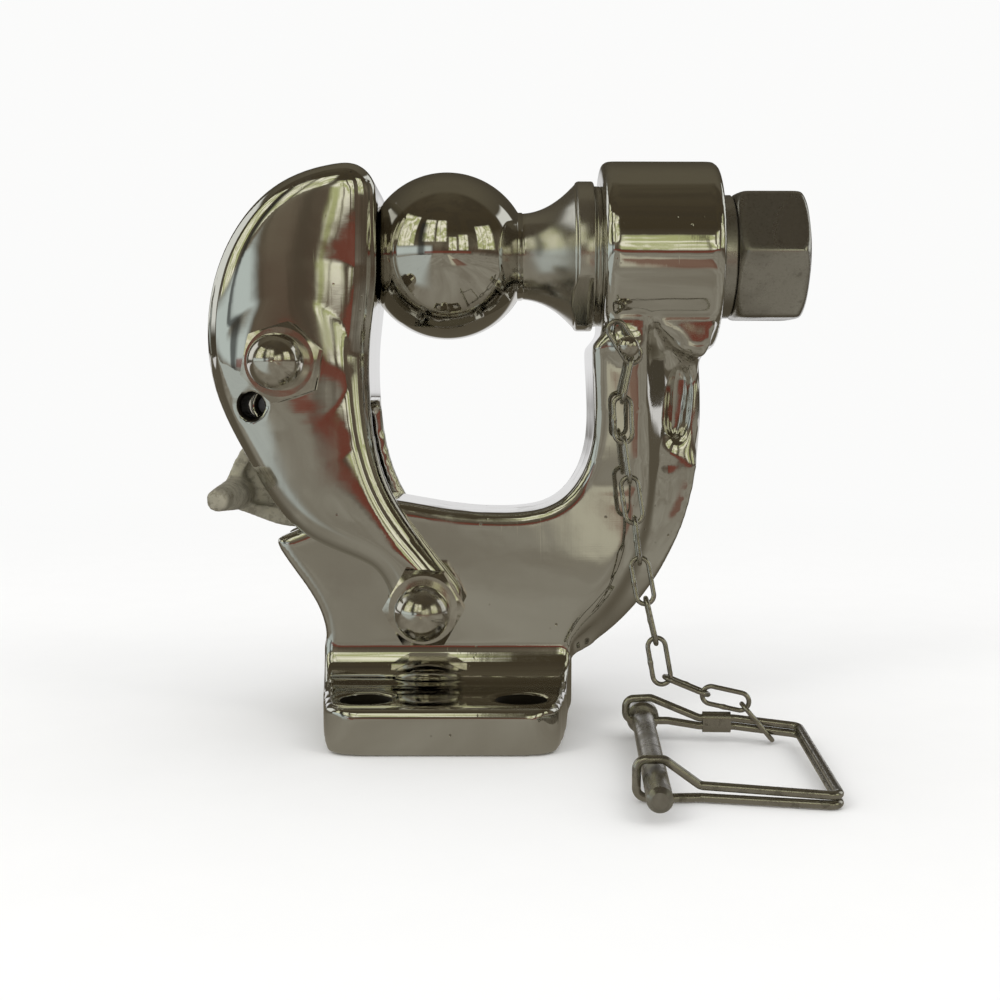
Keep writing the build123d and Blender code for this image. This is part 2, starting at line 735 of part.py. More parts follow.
loop_y = loop_from_tip - peg_tip_length
near_y = corner_y - bail_span
low_near = bail_wire / 2
high_near = low_near + strand
low_far = low_near + corner_rise
high_far = low_far + strand
low_arm = low_near + arm_rise
high_arm = low_arm + strand
round_peg = peg_r + bail_wire / 2 + bail_play
ferrule_mid = ferrule_start + ferrule_length / 2
with BuildPart() as pin_bail:
    with BuildLine(pin_plane) as wire_path:
        FilletPolyline(
            (ferrule_mid - 0.3, arm_y, low_arm),
            (ferrule_start - 1, arm_y, low_arm),
            (peg_r + 4.0, 0, peg_height),
            (-round_peg - 0.4, 0, peg_height),
            (-round_peg - 0.4, 0, peg_height + round_peg + 1.6),
            (peg_r - 1.0, 0, peg_height + round_peg + 2.0),
            (ferrule_start - 1, arm_y, high_arm),
            (ferrule_start + ferrule_length + 1, arm_y, high_arm),
            (bail_reach, corner_y, high_far),
            (bail_reach, near_y, high_near),
            (bail_reach / 4, loop_y, high_near + 0.6),
            (peg_r - 1.0, loop_y - 0.6, peg_height + round_peg),
            (-round_peg, loop_y - 0.8, peg_height + round_peg),
            (-round_peg, loop_y - 1.0, low_near),
            (peg_r + 1.0, loop_y - 1.0, low_near),
            (bail_reach / 4, loop_y - 0.2, low_near),
            (bail_reach, near_y, low_near),
            (bail_reach, corner_y, low_far),
            (ferrule_start + ferrule_length + 1, arm_y, low_arm),
            (ferrule_mid + 0.3, arm_y, low_arm),
            radius=bail_bend,
        )
    path = wire_path.wires()[0]
    with BuildSketch(Plane(origin=path @ 0, z_dir=path % 0)):
        Circle(bail_wire / 2)
    sweep(path=path)

with BuildPart() as bail_ferrule:
    ferrule_origin = pin_plane.from_local_coords((ferrule_start, arm_y, low_arm + strand / 2))
    with BuildSketch(Plane(origin=ferrule_origin, x_dir=peg_back, z_dir=peg_right)):
        wide = bail_wire + 0.1
        tall = strand + bail_wire + 0.1
        RectangleRounded(wide + 2 * ferrule_wall, tall + 2 * ferrule_wall, wide / 2 + ferrule_wall - 0.02)
        RectangleRounded(wide, tall, wide / 2 - 0.02, mode=Mode.SUBTRACT)
    extrude(amount=ferrule_length)

# ---- one STEP file for each named piece ----
pieces = {
    "hook_body": hook_body, "jaw_bush": jaw_bush, "ball_stud": ball_stud,
    "ball_lock_washer": ball_lock_washer, "ball_nut": ball_nut, "chain_screw": chain_screw,
    "jaw": jaw, "jaw_pivot_bolt": jaw_pivot_bolt, "jaw_pivot_nut": jaw_pivot_nut,
    "jaw_pivot_washers": jaw_pivot_washers, "pawl": pawl, "pawl_pivot_bolt": pawl_pivot_bolt,
    "pawl_pivot_nut": pawl_pivot_nut, "pawl_pivot_washers": pawl_pivot_washers,
    "pawl_spring": pawl_spring, "safety_pin": safety_pin, "pin_bail": pin_bail,
    "bail_ferrule": bail_ferrule,
}
os.makedirs("parts", exist_ok=True)
for name, piece in pieces.items():
    piece.part.label = name
    export_step(piece.part, f"parts/{name}.step")
for number, link in enumerate(links, start=1):
    link.label = f"chain_link_{number:02d}"
    export_step(link, f"parts/{link.label}.step")


def spell(v):
    return "(" + ", ".join(f"{c:.4f}" for c in v) + ")"


print("pin frame", spell(pin_origin), "peg axis", spell(peg_place.origin), spell(-peg_back))
for number, (hinge, place) in enumerate(zip(link_hinges, link_places), start=1):
    print("link", number, "hinge", spell(hinge), "axis", spell(place.z_dir), "centre", spell(place.origin))
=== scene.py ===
import json
import math

import bmesh
import bpy
import numpy as np
from mathutils import Euler, Matrix, Vector, noise

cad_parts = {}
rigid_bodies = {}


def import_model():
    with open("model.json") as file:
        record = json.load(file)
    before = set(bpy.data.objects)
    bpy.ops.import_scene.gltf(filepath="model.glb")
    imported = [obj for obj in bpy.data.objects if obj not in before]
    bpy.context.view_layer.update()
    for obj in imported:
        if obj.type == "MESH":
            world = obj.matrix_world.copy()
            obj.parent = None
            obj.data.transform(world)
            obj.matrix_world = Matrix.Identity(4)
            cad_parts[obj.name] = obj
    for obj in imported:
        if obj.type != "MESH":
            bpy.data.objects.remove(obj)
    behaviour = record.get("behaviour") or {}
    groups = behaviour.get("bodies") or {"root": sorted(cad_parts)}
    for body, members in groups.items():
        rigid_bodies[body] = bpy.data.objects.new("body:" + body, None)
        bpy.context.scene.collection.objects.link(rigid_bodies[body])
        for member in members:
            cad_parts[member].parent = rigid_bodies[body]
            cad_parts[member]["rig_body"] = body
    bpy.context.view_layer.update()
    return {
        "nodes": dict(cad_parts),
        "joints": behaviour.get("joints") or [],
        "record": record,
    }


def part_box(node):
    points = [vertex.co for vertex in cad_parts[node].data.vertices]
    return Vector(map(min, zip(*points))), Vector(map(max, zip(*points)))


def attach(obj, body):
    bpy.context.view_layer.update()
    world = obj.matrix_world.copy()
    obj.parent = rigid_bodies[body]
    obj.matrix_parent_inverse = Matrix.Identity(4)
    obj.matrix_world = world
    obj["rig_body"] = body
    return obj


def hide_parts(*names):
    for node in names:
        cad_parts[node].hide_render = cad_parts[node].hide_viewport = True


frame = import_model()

nodes = frame["nodes"]
print("frame loaded:", len(nodes), "nodes")


class Wire:
    # a node's output that can be used in a sum
    def __init__(self, shader, socket):
        self.shader = shader
        self.socket = socket

    def calc(self, operation, first, second=0.0):
        return self.shader.add("Math", {"operation": operation}, {0: first, 1: second})

    def __add__(self, other):
        return self.calc("ADD", self, other)

    def __radd__(self, other):
        return self.calc("ADD", other, self)

    def __sub__(self, other):
        return self.calc("SUBTRACT", self, other)

    def __rsub__(self, other):
        return self.calc("SUBTRACT", other, self)

    def __mul__(self, other):
        return self.calc("MULTIPLY", self, other)

    def __rmul__(self, other):
        return self.calc("MULTIPLY", other, self)

    def __gt__(self, other):
        return self.calc("GREATER_THAN", self, other)

    def smooth(self, low, high, outLow=0.0, outHigh=1.0):
        # eased step from outLow to outHigh as the value goes from low to high
        return self.shader.add(
            "MapRange",
            {"interpolation_type": "SMOOTHSTEP"},
            {"Value": self, "From Min": low, "From Max": high, "To Min": outLow, "To Max": outHigh},
        )


class Shader:
    def __init__(self, owner):
        owner.use_nodes = True
        self.tree = owner.node_tree
        self.tree.nodes.clear()

    def add(self, kind, settings=None, inputs=None, out=0):
        node = self.tree.nodes.new("ShaderNode" + kind)
        for key, value in (settings or {}).items():
            if key == "stops":
                ramp = node.color_ramp.elements
                while len(ramp) < len(value):
                    ramp.new(1.0)
                for stop, (place, colour) in zip(ramp, value):
                    stop.position = place
                    stop.color = (*colour, 1.0)
            else:
                setattr(node, key, value)
        for key, value in (inputs or {}).items():
            if isinstance(value, Wire):
                self.tree.links.new(value.socket, node.inputs[key])
            else:
                node.inputs[key].default_value = value
        return Wire(self, node.outputs[out]) if node.outputs else None

    def coords(self, scale=(1, 1, 1), turn=(0, 0, 0), place=(0, 0, 0)):
        here = self.add("TexCoord", out="Object")
        values = {"Vector": here, "Location": place, "Rotation": turn, "Scale": scale}
        return self.add("Mapping", None, values)

    def noise(self, scale, detail=3.0, where=None, rough=0.55, twist=0.0):
        spot = where or self.coords()
        values = {"Vector": spot, "Scale": scale, "Detail": detail, "Roughness": rough, "Distortion": twist}
        return self.add("TexNoise", None, values)

    def mix(self, share, first, second):
        # colours only
        return self.add("Mix", {"data_type": "RGBA"}, {0: share, 6: first, 7: second}, out=2)


def rgb(r, g, b):
    return (r, g, b, 1.0)


def metal(name, tint, dirt, build, metallic=1.0):
    # build(shader) gives roughness, height in millimetres, a dirt mask and, for castings, a bore mask for the
    # painted shade inside the bores
    material = bpy.data.materials.new(name)
    shader = Shader(material)
    roughness, height, mask, *extra = build(shader)
    bump = shader.add("Bump", None, {"Height": height, "Distance": 0.001, "Strength": 1.0})
    colour = shader.mix(mask, rgb(*tint), rgb(*dirt))
    # the bores get a near-black tone: painted shade
    if extra:
        colour = shader.mix(extra[0], colour, rgb(*castPolish["paintedBoreShade"]))
    body = shader.add("BsdfPrincipled", None, {
        "Base Color": colour, "Metallic": metallic, "Roughness": roughness, "Normal": bump,
    })
    shader.add("OutputMaterial", None, {"Surface": body})
    return material


# the bore tone below is painted shade, near black, for the inside of the bores
castPolish = {
    "tint": (0.68, 0.665, 0.62), "dirt": (0.20, 0.17, 0.13), "base": 0.038, "haze": 0.15, "wave": 0.10,
    "paintedBoreShade": (0.035, 0.03, 0.025), "boreRough": 0.6,
}
# the bores painted near black inside as painted shade: place on the casting and reach, in metres
plateBores = {"x": 0.0222, "y": 0.04285, "reach": 0.0074, "from": 0.020, "to": 0.018}
pinBore = {"x": -0.0565, "z": 0.0965, "reach": 0.0047, "from": 0.0266, "to": 0.0262}
ballPolish = {
    "tint": (0.66, 0.64, 0.59), "dirt": (0.24, 0.20, 0.15), "base": 0.035, "haze": 0.06, "ring": 0.004,
}
sandCast = {"tint": (0.56, 0.53, 0.43), "dirt": (0.24, 0.215, 0.165), "grain": 0.16, "metallic": 0.6}
nutSteel = {"tint": (0.52, 0.505, 0.47), "dirt": (0.17, 0.15, 0.12), "base": 0.20}
boltPolish = {"tint": (0.66, 0.63, 0.57), "dirt": (0.20, 0.17, 0.13), "base": 0.09}
wireSteel = {"tint": (0.50, 0.48, 0.43), "dirt": (0.11, 0.095, 0.075), "base": 0.17}
pegSteel = {"tint": (0.50, 0.485, 0.45), "dirt": (0.18, 0.16, 0.13), "base": 0.22}


def gap(across, along):
    # distance from an axis
    return across.calc("SQRT", across * across + along * along)


def castingFinish(shader):
    # hand-polished casting: slow waves, hazy patches, fine brush lines, a few pits and scratches, and painted
    # shade inside the bores
    wave = shader.noise(42, 2.0, twist=0.4)
    ripple = shader.noise(150, 2.0)
    haze = shader.noise(34, 5.0, rough=0.6, twist=0.7).smooth(0.46, 0.68)
    drift = shader.coords(scale=(6, 9, 1.2), turn=(0, 0.35, 0))
    smear = shader.noise(9, 4.0, drift, twist=0.3).smooth(0.45, 0.7)
    brush = shader.noise(1, 3.0, shader.coords(scale=(1900, 1900, 55), turn=(0.05, 0.12, 0)))
    cross = shader.noise(1, 2.0, shader.coords(scale=(70, 2600, 2600), turn=(0, 0.5, 0)))
    cells = {"Vector": shader.coords(), "Scale": 260.0, "Randomness": 1.0}
    pits = shader.add("TexVoronoi", {"feature": "F1"}, cells)
    pit = pits.smooth(0.05, 0.13, 1.0, 0.0) * shader.noise(55, 2.0).smooth(0.56, 0.64)
    stroke = shader.coords(scale=(900, 900, 18), turn=(0.4, 0.9, 0.3))
    scratch = shader.noise(1, 1.0, stroke).smooth(0.70, 0.74)
    here = shader.coords()
    x = shader.add("SeparateXYZ", None, {0: here}, out="X")
    y = shader.add("SeparateXYZ", None, {0: here}, out="Y")
    z = shader.add("SeparateXYZ", None, {0: here}, out="Z")
    plateBore = gap(x.calc("ABSOLUTE", x) - plateBores["x"], y.calc("ABSOLUTE", y) - plateBores["y"])
    pegBore = gap(x - pinBore["x"], z - pinBore["z"])
    belowTop = z.smooth(plateBores["to"], plateBores["from"], 1.0, 0.0)
    underSkin = y.calc("ABSOLUTE", y).smooth(pinBore["to"], pinBore["from"], 1.0, 0.0)
    # inside the bores: painted shade, near black, and a rougher skin
    shadedBore = (1.0 - (plateBore > plateBores["reach"])) * belowTop
    shadedBore = shadedBore + (1.0 - (pegBore > pinBore["reach"])) * underSkin
    roughness = castPolish["base"] + castPolish["haze"] * haze * smear + 0.035 * (haze + smear) + 0.12 * pit
    roughness = roughness + castPolish["boreRough"] * shadedBore
    height = castPolish["wave"] * wave + 0.012 * ripple + 0.0017 * brush + 0.0010 * cross
    height = height - 0.05 * pit - 0.003 * scratch
    mask = 0.16 * haze * smear + 0.7 * pit + 0.05 * smear
    return roughness, height, mask, shadedBore


def ballFinish(shader):
    # turned and buffed: fine rings round the stud's own axis, near perfect on the ball
    ring = shader.noise(1, 2.0, shader.coords(scale=(5200, 12, 12)))
    along = shader.add("SeparateXYZ", None, {0: shader.coords()})
    neck = along.smooth(0.0225, 0.0245)
    haze = shader.noise(40, 4.0, twist=0.5).smooth(0.5, 0.7)
    specks = shader.noise(620, 2.0).smooth(0.70, 0.76)
    height = ballPolish["ring"] * ring * (0.12 + neck) + 0.014 * shader.noise(60, 2.0) + 0.004 * specks
    roughness = ballPolish["base"] + ballPolish["haze"] * haze + 0.13 * neck + 0.06 * neck * ring
    mask = 0.10 * haze + 0.25 * specks + 0.06 * neck * ring
    return roughness, height, mask


def sandFinish(shader):
    # rough grey casting straight from the sand
    coarse = shader.noise(520, 5.0, rough=0.7)
    fine = shader.noise(1500, 4.0, rough=0.75)
    stain = shader.noise(70, 4.0, twist=0.6).smooth(0.42, 0.66)
    worn = shader.noise(190, 3.0).smooth(0.5, 0.66)
    height = sandCast["grain"] * coarse + 0.07 * fine
    roughness = 0.50 + 0.14 * stain - 0.14 * worn
    mask = 0.45 * stain + 0.45 * coarse.smooth(0.52, 0.40) + 0.1 * fine
    return roughness, height, mask


def nutFinish(shader):
    # faced and drawn flats with faint tool marks
    drawn = shader.noise(1, 3.0, shader.coords(scale=(60, 2200, 2200)))
    stain = shader.noise(60, 4.0, twist=0.5).smooth(0.44, 0.68)
    grain = shader.noise(1300, 3.0)
    dent = shader.noise(240, 2.0).smooth(0.66, 0.74)
    height = 0.004 * drawn + 0.006 * grain - 0.03 * dent + 0.03 * shader.noise(120, 2.0)
    roughness = nutSteel["base"] + 0.12 * stain + 0.08 * drawn
    mask = 0.30 * stain + 0.20 * grain.smooth(0.5, 0.7) + 0.25 * dent
    return roughness, height, mask


def boltFinish(shader):
    swirl = shader.noise(90, 3.0, twist=0.4)
    haze = shader.noise(130, 4.0, twist=0.4).smooth(0.45, 0.66)
    grain = shader.noise(2300, 2.0)
    height = 0.03 * swirl + 0.0012 * grain
    roughness = boltPolish["base"] + 0.12 * haze + 0.03 * grain
    mask = 0.22 * haze
    return roughness, height, mask


def wireFinish(shader):
    # drawn wire, a little dull, with darker weld scale here and there
    scale = shader.noise(330, 3.0, twist=0.4).smooth(0.5, 0.7)
    grain = shader.noise(2600, 3.0)
    height = 0.006 * grain + 0.02 * shader.noise(500, 2.0)
    roughness = wireSteel["base"] + 0.16 * scale + 0.06 * grain
    mask = 0.45 * scale + 0.12 * grain
    return roughness, height, mask


def pegFinish(shader):
    turned = shader.noise(1, 3.0, shader.coords(scale=(50, 3200, 50)))
    stain = shader.noise(140, 3.0, twist=0.4).smooth(0.46, 0.68)
    height = 0.003 * turned + 0.01 * shader.noise(700, 3.0)
    roughness = pegSteel["base"] + 0.14 * stain + 0.06 * turned
    mask = 0.35 * stain + 0.1 * turned
    return roughness, height, mask


finishes = {
    "polished_casting": metal("polishedCasting", castPolish["tint"], castPolish["dirt"], castingFinish),
    "polished_ball": metal("polishedBall", ballPolish["tint"], ballPolish["dirt"], ballFinish),
    "sand_cast": metal("sandCasting", sandCast["tint"], sandCast["dirt"], sandFinish, sandCast["metallic"]),
    "satin_nut": metal("nutSteel", nutSteel["tint"], nutSteel["dirt"], nutFinish),
    "fastener": metal("polishedFastener", boltPolish["tint"], boltPolish["dirt"], boltFinish),
    "chain_wire": metal("chainWire", wireSteel["tint"], wireSteel["dirt"], wireFinish),
    "polished_pin": metal("pegSteel", pegSteel["tint"], pegSteel["dirt"], pegFinish),
    "spring_wire": metal("springWire", wireSteel["tint"], wireSteel["dirt"], wireFinish),
}
print("finishes made:", len(finishes))

slotOf = {entry["node"]: entry["material_slot"] for entry in frame["record"]["subparts"]}
for nodeName, node in nodes.items():
    node.data.materials.clear()
    node.data.materials.append(finishes[slotOf[nodeName]])


def bodyOf(nodeName):
    return nodes[nodeName]["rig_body"]


def newPiece(name, mesh, nodeName):
    # a finished piece that stands for one node of the frame
    piece = bpy.data.objects.new(name, mesh)
    bpy.context.scene.collection.objects.link(piece)
    mesh.materials.clear()
    mesh.materials.append(finishes[slotOf[nodeName]])
    return piece


def handOver(piece, nodeName):
    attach(piece, bodyOf(nodeName))
    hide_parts(nodeName)


def baked(holder):
    # the evaluated shape of an object with live modifiers, as a plain mesh
    graph = bpy.context.evaluated_depsgraph_get()
    graph.update()
    return bpy.data.meshes.new_from_object(holder.evaluated_get(graph))


def smoothFaces(mesh):
    mesh.polygons.foreach_set("use_smooth", [True] * len(mesh.polygons))
    mesh.update()


def remeshed(name, nodeName, voxel, passes, soften=None, softPasses=0):
    # a casting's skin: one even mesh, its edges eased, softened further where soften says
    source = bmesh.new()
    source.from_mesh(nodes[nodeName].data)
    bmesh.ops.remove_doubles(source, verts=source.verts, dist=1e-6)
    mesh = bpy.data.meshes.new(name)
    source.to_mesh(mesh)
    source.free()
    piece = newPiece(name, mesh, nodeName)
    remesh = piece.modifiers.new("even", "REMESH")
    remesh.mode = "VOXEL"
    remesh.voxel_size = voxel
    remesh.use_smooth_shade = True
    piece.data = baked(piece)
    piece.modifiers.clear()
    if soften:
        group = piece.vertex_groups.new(name="soft")
        for vertex in piece.data.vertices:
            weight = soften(*(1000 * vertex.co))
            if weight > 0.01:
                group.add([vertex.index], weight, "REPLACE")
        ease = piece.modifiers.new("valley", "SMOOTH")
        ease.vertex_group = "soft"
        ease.factor = 0.5
        ease.iterations = softPasses
    ease = piece.modifiers.new("ease", "SMOOTH")
    ease.factor = 0.5
    ease.iterations = passes
    final = baked(piece)
    piece.modifiers.clear()
    piece.vertex_groups.clear()
    piece.data = final
    final.materials.clear()
    final.materials.append(finishes[slotOf[nodeName]])
    smoothFaces(final)
    print(name, len(final.polygons), "faces")
    return piece


# sizes with Millimetres in the name are in millimetres, all others in metres
hookSkin = {
    "voxel": 0.00115, "passes": 5, "valleyPasses": 60, "valleyReachMillimetres": 5.25,
    "footWeight": 0.3, "footMillimetres": 3.5,
}
valleyLine = np.array([(67.0, 112), (66.8, 104), (65.6, 76), (62.0, 53.5), (54.5, 38.5), (46.5, 29.5)])


def lineDistance(x, z, line):
    # distance from a broken line, seen from the side
    best = 1e9
    for (ax, az), (bx, bz) in zip(line[:-1], line[1:]):
        dx, dz = bx - ax, bz - az
        share = max(0.0, min(1.0, ((x - ax) * dx + (z - az) * dz) / (dx * dx + dz * dz)))
        best = min(best, math.hypot(x - ax - share * dx, z - az - share * dz))
    return best


def valleyWeight(x, y, z):
    # how far the skin is softened: the foot's edge, the side panel and the valley by the band
    if z < hookSkin["footMillimetres"]:
        return hookSkin["footWeight"]
    if x < 35 or z < 24 or z > 122 or abs(y) < 9.5:
        return 0.0
    if 60 < x and 78 < z < 114:
        return min(1.0, (x - 60) / 5, (z - 78) / 5, (114 - z) / 5)
    return max(0.0, min(1.0, 1.6 - lineDistance(x, z, valleyLine) / hookSkin["valleyReachMillimetres"]))


hookBody = remeshed("hookCasting", "hook_body", hookSkin["voxel"], hookSkin["passes"], valleyWeight,
                    hookSkin["valleyPasses"])
handOver(hookBody, "hook_body")

jawSkin = {
    "voxel": 0.0010, "passes": 7, "crownMillimetres": 2.5, "reachMillimetres": 22, "crownFrom": 20.5,
    "seats": [(-46.7, 108.9), (-6.0, 38.0)], "seatMillimetres": 10.5, "seatFade": 9,
}
jawBody = remeshed("jawCasting", "jaw", jawSkin["voxel"], jawSkin["passes"])
# the two sides of the jaw are slightly crowned about its spine, flat where the washers sit
spine = np.array([(-40, 166), (-46, 140), (-46.7, 108.9), (-38, 78), (-22, 54), (-6, 38), (0, 30)])
for vertex in jawBody.data.vertices:
    x, y, z = 1000 * vertex.co
    deep = abs(y) - jawSkin["crownFrom"]
    if deep > 0:
        share = min(1.3, lineDistance(x, z, spine) / jawSkin["reachMillimetres"])
        near = min(math.hypot(x - seatX, z - seatZ) for seatX, seatZ in jawSkin["seats"])
        seated = max(0.0, min(1.0, (near - jawSkin["seatMillimetres"]) / jawSkin["seatFade"]))
        fall = jawSkin["crownMillimetres"] * share**2 * seated * min(1.0, deep / 4)
        vertex.co.y -= math.copysign(fall / 1000, y)
handOver(jawBody, "jaw")

pawlSkin = {"voxel": 0.0007, "passes": 6, "grain": 0.00016, "grainSize": 0.0011}
pawlBody = remeshed("pawlCasting", "pawl", pawlSkin["voxel"], pawlSkin["passes"])
for vertex in pawlBody.data.vertices:
    spot = vertex.co / pawlSkin["grainSize"]
    vertex.co += vertex.normal * (pawlSkin["grain"] * (noise.noise(spot) - 0.4))
handOver(pawlBody, "pawl")

nutSkin = {"voxel": 0.0007, "passes": 26}
ballNut = remeshed("ballNutForged", "ball_nut", nutSkin["voxel"], nutSkin["passes"])
handOver(ballNut, "ball_nut")
print("castings done")


class Shaper:
    # a geometry node tree with named inputs; the last node of the tree sets the finish
    def __init__(self, name, inputs):
        self.tree = bpy.data.node_groups.new(name, "GeometryNodeTree")
        face = self.tree.interface
        face.new_socket("Shape", in_out="INPUT", socket_type="NodeSocketGeometry")
        for label, value in inputs.items():
            kind = "NodeSocketInt" if isinstance(value, int) else "NodeSocketFloat"
            face.new_socket(label, in_out="INPUT", socket_type=kind).default_value = value
        face.new_socket("Shape", in_out="OUTPUT", socket_type="NodeSocketGeometry")
        self.start = self.tree.nodes.new("NodeGroupInput")
        self.end = self.tree.nodes.new("NodeGroupOutput")

    def given(self, label):
        return self.start.outputs[label]

    def add(self, kind, settings=None, inputs=None, out=0):
        node = self.tree.nodes.new(kind)
        for key, value in (settings or {}).items():
            setattr(node, key, value)
        for key, value in (inputs or {}).items():
            if isinstance(value, bpy.types.NodeSocket):
                self.tree.links.new(value, node.inputs[key])
            else:
                node.inputs[key].default_value = value
        return node.outputs[out]

    def calc(self, operation, first, second=0.0):
        return self.add("ShaderNodeMath", {"operation": operation}, {0: first, 1: second})

    def finish(self, shape, material):
        whole = self.add("GeometryNodeRealizeInstances", None, {0: shape})
        painted = self.add("GeometryNodeSetMaterial", None, {"Geometry": whole, "Material": material})
        self.tree.links.new(painted, self.end.inputs[0])
        return self.tree

    def run(self, name, base, values, nodeName):
        # the tree's result on a base mesh, as a finished piece
        piece = newPiece(name, base, nodeName)
        modifier = piece.modifiers.new("shape", "NODES")
        modifier.node_group = self.tree
        for item in self.tree.interface.items_tree:
            if item.in_out == "INPUT" and item.name in values:
                modifier[item.identifier] = values[item.name]
        result = baked(piece)
        piece.modifiers.clear()
        piece.data = result
        smoothFaces(result)
        return piece


# the ball stud is turned: its profile swept round the axis, then two flats cut on the flange
studSizes = {
    "ball": 0.0254, "axisHeight": 0.1422, "neck": 0.0134, "neckStart": 0.0229, "flange": 0.0228,
    "flangeStart": 0.0386, "lip": 0.0012, "neckDip": 0.0003, "collarEnd": 0.0466, "shank": 0.0127,
    "flats": 0.0410, "turns": 160,
}


def studProfile():
    size = studSizes
    ball, neck, flange = size["ball"], size["neck"], size["flange"]
    last = math.pi - math.asin(neck / ball)
    points = [(-ball * math.cos(a), ball * math.sin(a)) for a in np.linspace(0.0005, last, 90)]
    start, edge, lip = size["neckStart"], size["flangeStart"], size["lip"]
    low = neck - size["neckDip"]
    points += [(start - 0.0001, neck - 0.00003), (start, low)]
    for share in np.linspace(0.04, 1, 36):
        rise = 0.10 * share + 0.90 * share**2.1
        points.append((start + share * (edge - start), low + rise * (flange - lip - low)))
    for turn in np.linspace(0, math.pi / 2, 6):
        points.append((edge + 0.0002 + lip * (1 - math.cos(turn)), flange - lip + lip * math.sin(turn)))
    # the flange's rim and the groove before the casting: distance before the collar's end, depth
    end = size["collarEnd"]
    rim = [(0.0046, 0), (0.0045, 0), (0.0028, 0), (0.0024, 0.0001), (0.0022, 0.0004), (0.0020, 0.0014),
           (0.0010, 0.0015), (0.0003, 0.0015), (0, 0.0017)]
    points += [(end - back, flange - depth) for back, depth in rim]
    points.append((end, size["shank"]))
    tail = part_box("ball_stud")[1].x
    points += [(tail - 0.002, size["shank"]), (tail, size["shank"] - 0.0018), (tail, 0.0001)]
    return points


studTree = Shaper("turnedStud", {
    "Rows": 10, "Turns": 64, "Axis Height": 0.1, "Flats": 0.04, "Flats From": 0.0, "Flats To": 0.0,
})
rows, turns = studTree.given("Rows"), studTree.given("Turns")
gridSize = {"Vertices X": rows, "Vertices Y": turns, "Size X": 1.0, "Size Y": 1.0}
skin = studTree.add("GeometryNodeMeshGrid", None, gridSize)
index = studTree.add("GeometryNodeInputIndex")
row = studTree.calc("FLOOR", studTree.calc("DIVIDE", studTree.calc("ADD", index, 0.5), turns))
column = studTree.calc("MODULO", index, turns)
step = studTree.calc("DIVIDE", 2 * math.pi, studTree.calc("SUBTRACT", turns, 1.0))
angle = studTree.calc("MULTIPLY", column, step)
position = studTree.add("GeometryNodeInputPosition")
spot = studTree.add("GeometryNodeSampleIndex", {"data_type": "FLOAT_VECTOR", "domain": "POINT"},
                    {"Geometry": studTree.given("Shape"), "Value": position, "Index": row})
spotX = studTree.add("ShaderNodeSeparateXYZ", None, {0: spot}, out="X")
spotR = studTree.add("ShaderNodeSeparateXYZ", None, {0: spot}, out="Z")
sideways = studTree.calc("MULTIPLY", spotR, studTree.calc("SINE", angle))
upward = studTree.calc("MULTIPLY", spotR, studTree.calc("COSINE", angle))
# the flats lie across the half-right direction
across = studTree.calc("MULTIPLY", studTree.calc("ADD", sideways, upward), math.sqrt(0.5))
halfFlats = studTree.calc("DIVIDE", studTree.given("Flats"), 2.0)
farFlat = studTree.calc("MULTIPLY", halfFlats, -1.0)
held = studTree.calc("MAXIMUM", studTree.calc("MINIMUM", across, halfFlats), farFlat)
inside = studTree.calc("MULTIPLY", studTree.calc("GREATER_THAN", spotX, studTree.given("Flats From")),
                       studTree.calc("LESS_THAN", spotX, studTree.given("Flats To")))
excess = studTree.calc("MULTIPLY", studTree.calc("SUBTRACT", held, across), inside)
push = studTree.calc("MULTIPLY", excess, math.sqrt(0.5))
placed = studTree.add("ShaderNodeCombineXYZ", None, {
    0: spotX, 1: studTree.calc("ADD", sideways, push),
    2: studTree.calc("ADD", studTree.calc("ADD", upward, push), studTree.given("Axis Height")),
})
turned = studTree.add("GeometryNodeSetPosition", None, {"Geometry": skin, "Position": placed})
closed = studTree.add("GeometryNodeMergeByDistance", None, {"Geometry": turned, "Distance": 0.00003})
studTree.finish(closed, finishes["polished_ball"])

profile = studProfile()
profileMesh = bpy.data.meshes.new("studProfile")
profileMesh.from_pydata([(x, 0, r) for x, r in profile], [(i, i + 1) for i in range(len(profile) - 1)], [])
ballStud = studTree.run("ballStudTurned", profileMesh, {
    "Rows": len(profile), "Turns": studSizes["turns"] + 1, "Axis Height": studSizes["axisHeight"],
    "Flats": studSizes["flats"], "Flats From": studSizes["flangeStart"] - 0.004,
    "Flats To": studSizes["collarEnd"] - 0.0025,
}, "ball_stud")


def outwards(mesh):
    # all faces of a closed shape point out
    work = bmesh.new()
    work.from_mesh(mesh)
    bmesh.ops.remove_doubles(work, verts=work.verts, dist=2e-6)
    bmesh.ops.recalc_face_normals(work, faces=work.faces)
    work.to_mesh(mesh)
    work.free()


outwards(ballStud.data)
smoothFaces(ballStud.data)
handOver(ballStud, "ball_stud")
print("ball stud", len(ballStud.data.polygons), "faces")

# oval chain links with a small weld bead on one long side
linkSizes = {
    "length": 0.0149, "width": 0.0065, "wire": 0.0014, "bead": 1.22, "beadLength": 0.0011, "round": 14,
}
linkTree = Shaper("chainLink", {"Wire": 0.001, "Bead": 1.2, "Bead Length": 0.001, "Round": 14})
loop = linkTree.add("GeometryNodeMeshToCurve", None, {0: linkTree.given("Shape")})
where = linkTree.add("GeometryNodeInputPosition")
lengthwise = linkTree.add("ShaderNodeSeparateXYZ", None, {0: where}, out="X")
crosswise = linkTree.add("ShaderNodeSeparateXYZ", None, {0: where}, out="Y")
away = linkTree.calc("DIVIDE", linkTree.calc("ABSOLUTE", lengthwise), linkTree.given("Bead Length"))
near = linkTree.calc("SUBTRACT", 1.0, linkTree.calc("MINIMUM", away, 1.0))
near = linkTree.calc("MULTIPLY", near, linkTree.calc("GREATER_THAN", crosswise, 0.0))
extra = linkTree.calc("SUBTRACT", linkTree.given("Bead"), 1.0)
swell = linkTree.calc("ADD", 1.0, linkTree.calc("MULTIPLY", near, extra))
